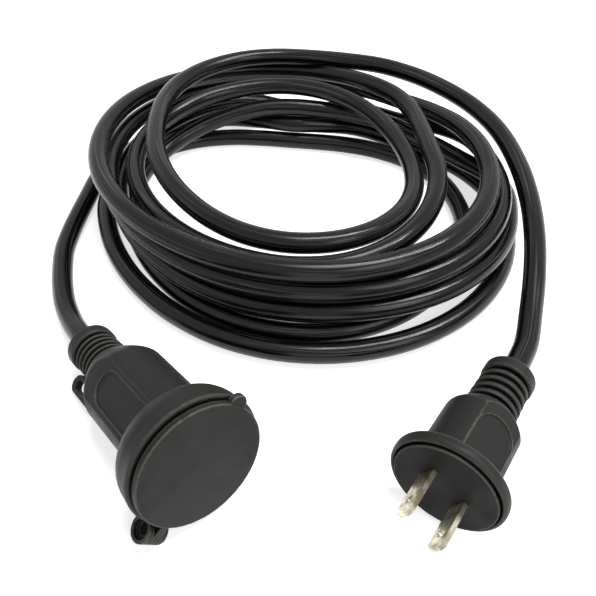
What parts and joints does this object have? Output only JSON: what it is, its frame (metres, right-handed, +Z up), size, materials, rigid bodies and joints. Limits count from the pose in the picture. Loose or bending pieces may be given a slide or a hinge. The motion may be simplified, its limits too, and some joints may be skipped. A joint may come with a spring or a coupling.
{
  "type": "extension cord",
  "caption": "Outdoor extension cord lying in a loose coil, with a two-blade plug and a round two-slot socket under a hinged rain cap.",
  "frame": {"origin": "on the floor, under the middle of the socket's footprint, measured without the coil, the free cord and the plug", "axes": "+X along the socket from its cord to its cap (the socket itself leans up by 10.2 degrees); +Z up"},
  "size_m": [0.269, 0.2428, 0.0435],
  "materials": {
    "body_pvc": "matte black moulded PVC with a fine satin grain",
    "cord_pvc": "satin black PVC jacket with fine lengthwise extrusion streaks",
    "carrier_plastic": "black rigid plastic",
    "blade_metal": "nickel-plated brass",
    "contact_brass": "plain brass spring contact",
    "core_white": "white core insulation",
    "core_black": "black core insulation",
    "copper": "bare copper strands"
  },
  "bodies": {
    "cord_and_socket": {"socket_body": "body_pvc", "socket_strain_relief": "body_pvc", "socket_cord_end": "cord_pvc", "contact_carrier": "carrier_plastic", "contact_left": "contact_brass", "contact_right": "contact_brass", "socket_core_left": "core_white", "socket_core_right": "core_black", "socket_copper_left": "copper", "socket_copper_right": "copper", "hinge_pin": "carrier_plastic", "plug_body": "body_pvc", "plug_strain_relief": "body_pvc", "plug_cord_end": "cord_pvc", "blade_bridge": "carrier_plastic", "blade_left": "blade_metal", "blade_right": "blade_metal", "plug_core_left": "core_white", "plug_core_right": "core_black", "plug_copper_left": "copper", "plug_copper_right": "copper", "cord_tail_plug": "cord_pvc", "cord_coil": "cord_pvc", "cord_tail_socket": "cord_pvc"},
    "cap": {"cap": "body_pvc"}
  },
  "joints": [
    {"name": "cap_hinge", "type": "hinge", "parent": "cord_and_socket", "child": "cap", "pos_m": [0.03417, -0.01757, 0.00642], "axis": [0.1357, 0.6428, -0.7539], "range_deg": [0, 170]}
  ]
}
